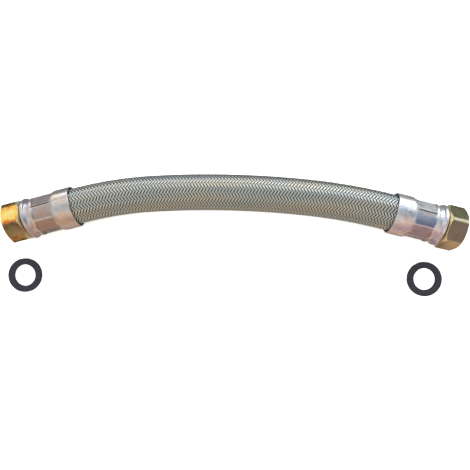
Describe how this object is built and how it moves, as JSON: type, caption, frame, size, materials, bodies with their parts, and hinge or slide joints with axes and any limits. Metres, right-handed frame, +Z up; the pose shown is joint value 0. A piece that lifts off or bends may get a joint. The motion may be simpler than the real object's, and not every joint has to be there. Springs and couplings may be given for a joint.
{
  "type": "heating flexible hose",
  "caption": "Short braided water hose lying in a gentle bend, with crimped ferrules, swivelling hexagonal union nuts and loose flat sealing rings.",
  "frame": {"origin": "on the floor, under the middle of the whole set's bounding box", "axes": "+X from the left end to the right end of the hose, +Y towards the back where the bend bulges, +Z up from the floor"},
  "size_m": [0.432, 0.1168, 0.0419],
  "materials": {
    "braided_steel": "woven bright stainless wire",
    "black_rubber": "smooth matt",
    "pressed_steel": "satin, pressed",
    "turned_brass": "turned",
    "golden_nut": "golden, slightly mottled",
    "ring_rubber": "matt"
  },
  "bodies": {
    "hose": {"inner_tube": "black_rubber", "braid_sleeve": "braided_steel", "left_ferrule": "pressed_steel", "right_ferrule": "pressed_steel", "left_tail": "turned_brass", "right_tail": "turned_brass", "left_ring": "ring_rubber", "right_ring": "ring_rubber"},
    "left_union": {"left_nut": "golden_nut"},
    "right_union": {"right_nut": "golden_nut"}
  },
  "joints": [
    {"name": "left_nut_swivel", "type": "hinge", "parent": "hose", "child": "left_union", "pos_m": [-0.19279, 0.01093, 0.02102], "axis": [-0.9586, -0.2824, 0.0377], "continuous": true},
    {"name": "right_nut_swivel", "type": "hinge", "parent": "hose", "child": "right_union", "pos_m": [0.20087, 0.01325, 0.02071], "axis": [0.9709, -0.2372, 0.0317], "continuous": true}
  ]
}
